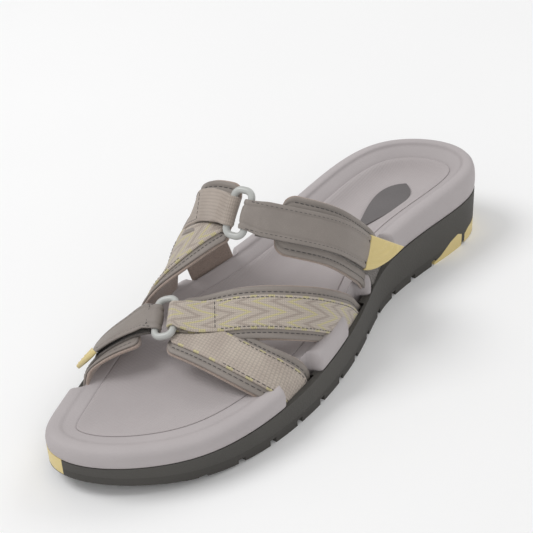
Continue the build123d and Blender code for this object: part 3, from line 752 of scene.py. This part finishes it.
# ---------------------------------------------------------------- sole
def outline_at(place, inset):
    """Points on the outline, place counted along its pulling points, moved in by inset."""
    place = np.asarray(place, float)
    first = np.floor(place).astype(int)
    p = (place - first)[..., None]
    pulls = [OUTLINE[(first + k - 1) % len(OUTLINE)] for k in range(4)]
    shares = [(1 - p) ** 3 / 6, (3 * p ** 3 - 6 * p ** 2 + 4) / 6,
              (-3 * p ** 3 + 3 * p ** 2 + 3 * p + 1) / 6, p ** 3 / 6]
    slopes = [-(1 - p) ** 2 / 2, (3 * p ** 2 - 4 * p) / 2, (-3 * p ** 2 + 2 * p + 1) / 2, p ** 2 / 2]
    spot = sum(share * pull for share, pull in zip(shares, pulls))
    run = unit(sum(slope * pull for slope, pull in zip(slopes, pulls)))
    inset = np.asarray(inset, float)[..., None]
    return spot + np.stack([-run[..., 1], run[..., 0]], -1) * inset


AROUND = 640


def even_places():
    """Places spaced evenly along the outline's length."""
    dense = np.linspace(0, len(OUTLINE), 4001)
    spots = outline_at(dense, np.zeros_like(dense))
    gone = np.concatenate([[0], np.cumsum(np.linalg.norm(np.diff(spots, axis=0), axis=1))])
    return np.interp(np.arange(AROUND) / AROUND * gone[-1], gone, dense)


PLACES = even_places()
EDGE = outline_at(PLACES, np.zeros(AROUND))


def near_straps():
    """1 where a strap goes down beside the footbed, 0 away from it."""
    spans = [(1, 8 - 2.0, 12.4), (1, -46.5, 10.8), (1, 36, 12.0), (-1, -91, 13.8), (-1, -8, 12.4), (-1, -46, 12.4)]
    hit = np.zeros(AROUND)
    for side, middle, half in spans:
        same = (np.sign(EDGE[:, 0] + 3) == side)
        inside = ramp(half + 2.6 - np.abs(EDGE[:, 1] - middle), 0, 2.8)
        hit = np.maximum(hit, np.where(same, inside, 0))
    return hit


STRAPPED = near_straps()


def ring_of(inset, z):
    """One loop of points round the sole."""
    inset = np.broadcast_to(np.asarray(inset, float), (AROUND,))
    spots = outline_at(PLACES, inset)
    z = np.broadcast_to(np.asarray(z, float), (AROUND,)) if np.ndim(z) or not callable(z) else z(spots[:, 1])
    return np.concatenate([spots, np.asarray(z)[:, None]], 1) - ORIGIN


def inner_loops(first_inset, level, count):
    """Loops from an inset in to the sole's middle line, with heights from level(y, share)."""
    rim = outline_at(PLACES, np.full(AROUND, first_inset))
    low, high = rim[:, 1].min() + 22, rim[:, 1].max() - 22
    order_y = np.clip(rim[:, 1], low, high)
    ys = np.linspace(low, high, 60)
    mids = []
    for y in ys:
        near = np.argsort(np.abs(rim[:, 1] - y))[:40]
        xs = rim[near, 0]
        mids.append((xs.max() + xs.min()) / 2)
    evened = np.convolve(np.pad(mids, 4, "edge"), np.ones(9) / 9, "valid")
    spine = np.stack([np.interp(order_y, ys, evened), order_y], 1)
    loops = []
    for k in range(1, count + 1):
        share = k / count
        spots = rim * (1 - share) + spine * share
        loops.append(np.concatenate([spots, level(spots[:, 1], share)[:, None]], 1) - ORIGIN)
    return loops


def loops_piece(name, loops, material):
    rows = len(loops)
    points = np.concatenate(loops)
    faces = grid_faces(rows, AROUND, closed_columns=True)
    obj = piece(name, points, faces, material, "sole")
    mesh = obj.data
    work = bmesh.new()
    work.from_mesh(mesh)
    bmesh.ops.remove_doubles(work, verts=work.verts, dist=0.00004)
    bmesh.ops.recalc_face_normals(work, faces=work.faces)
    work.to_mesh(mesh)
    work.free()
    mesh.polygons.foreach_set("use_smooth", [True] * len(mesh.polygons))
    return obj


COVER_EDGE = 0.5                # how far up the rim the cover reaches
NOTCH = 7.2                     # how far in the rim is cut back beside a strap


def bed_height(y, share):
    """The footbed's cover, cupped up towards its rim."""
    cup = np.clip(1 - share / 0.6, 0, 1) ** 2
    return heights(BED_TOP, y) + COVER_EDGE * cup * (heights(RIM_TOP, y) - heights(BED_TOP, y)) - 0.8 * share


def footbed():
    """The foam footbed: loops up its outer side, over the rim, and down to the floor under the cover."""
    cut = STRAPPED
    keep = 1 - cut
    wall = lambda f: (lambda y: heights(WALL_TOP, y) + (heights(RIM_TOP, y) - heights(WALL_TOP, y)) * f)
    rise = lambda y: heights(RIM_TOP, y) - heights(BED_TOP, y)
    inner = lambda f, drop=0.0: (lambda y: heights(BED_TOP, y) + rise(y) * f - drop)
    loops = [ring_of(4.3 + 2.9 * cut, wall(-0.35)), ring_of(4.2 + 3.0 * cut, wall(-0.04))]
    for inset, part in ((0.7, 0.0), (0.15, 0.1), (0.0, 0.3), (0.1, 0.52), (0.5, 0.72), (1.3, 0.87), (2.5, 0.96),
                        (4.2, 1.0), (5.6, 1.0)):
        loops.append(ring_of(inset * keep + max(inset, NOTCH) * cut, wall(part)))
    for inset, part in ((6.3, 0.95), (7.2, 0.9), (8.6, 0.82), (9.8, 0.74), (10.8, 0.67), (11.6, 0.61), (12.2, 0.56),
                        (12.6, 0.52)):
        loops.append(ring_of(max(inset, NOTCH + 0.1 * (inset - NOTCH)), inner(part)))
    loops.append(ring_of(13.0, inner(COVER_EDGE, 0.25)))
    loops.append(ring_of(13.4, inner(COVER_EDGE, 0.6)))
    loops += inner_loops(14.0, lambda y, share: heights(BED_TOP, y) - 1.1 - 0.8 * share, 3)
    return loops


bed = loops_piece("footbed_body", footbed(), BED)
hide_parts("footbed")
cover_loops = [ring_of(inset, lambda y, low=low: bed_height(y, 0.0) - low)
               for inset, low in ((13.35, 0.55), (13.2, 0.2), (13.45, 0.03), (14.0, 0.0))]
cover_loops += inner_loops(14.4, bed_height, 14)
cover = loops_piece("footbed_cover_cloth", cover_loops, COVER)
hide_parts("footbed_cover")

for label, look in {"outsole": RUBBER, "midsole": FOAM, "shank": BOARD, "heel_badge": BADGE, "toe_bumper": YELLOW,
                    "heel_pod_outer": YELLOW, "heel_pod_inner": YELLOW, "heel_pod_rear": YELLOW,
                    "front_ring": RING_SKIN, "rear_ring": RING_SKIN}.items():
    keep_node(label, look)

# ---------------------------------------------------------------- floor, light, camera
floor_look = Look("studio_floor", 0.9)
floor_look.colour(floor_look.ramp(floor_look.noise(3.0), [(0.3, (0.93, 0.93, 0.93)), (0.7, (0.95, 0.95, 0.95))]))
mesh = bpy.data.meshes.new("studio_floor")
mesh.from_pydata([(-4, -4, 0), (4, -4, 0), (4, 4, 0), (-4, 4, 0)], [], [(0, 1, 2, 3)])
mesh.materials.append(floor_look.material)
floor = bpy.data.objects.new("studio_floor", mesh)
bpy.context.scene.collection.objects.link(floor)


def lamp(name, place, aim, size, power, colour=(1, 1, 1)):
    data = bpy.data.lights.new(name, "AREA")
    data.shape = "DISK"
    data.size = size
    data.energy = power
    data.color = colour
    obj = bpy.data.objects.new(name, data)
    bpy.context.scene.collection.objects.link(obj)
    obj.location = place
    obj.rotation_euler = (Vector(aim) - Vector(place)).to_track_quat("-Z", "Y").to_euler()
    return obj


lamp("key", (-0.9, -0.6, 1.5), (0, 0, 0.03), 0.9, 13)
lamp("fill", (1.3, -1.0, 1.1), (0, 0, 0.03), 1.4, 4)
lamp("back", (0.2, 1.4, 1.2), (0, 0, 0.03), 1.2, 6)
world = bpy.data.worlds.new("studio")
bpy.context.scene.world = world
world.use_nodes = True
world.node_tree.nodes["Background"].inputs[0].default_value = (1, 1, 1, 1)
world.node_tree.nodes["Background"].inputs[1].default_value = 0.55
bpy.context.scene.view_settings.view_transform = "Standard"

azimuth, elevation, roll = math.radians(38.06), math.radians(34.89), math.radians(-3.06)
distance = 0.6474
target = Vector((-34.32, 36.27, 1.2)) * MM
back = Vector((math.sin(azimuth) * math.cos(elevation), -math.cos(azimuth) * math.cos(elevation),
               math.sin(elevation)))
right = Vector((0, 0, 1)).cross(back).normalized()
up = back.cross(right)
right, up = right * math.cos(roll) + up * math.sin(roll), up * math.cos(roll) - right * math.sin(roll)
camera_data = bpy.data.cameras.new("camera")
camera_data.sensor_width = 36.0
camera_data.lens = 1259.14 / 533 * 36.0
camera = bpy.data.objects.new("camera", camera_data)
bpy.context.scene.collection.objects.link(camera)
camera.matrix_world = Matrix.Translation(target + back * distance) @ Matrix((right, up, back)).transposed().to_4x4()
bpy.context.scene.camera = camera

bpy.context.view_layer.update()
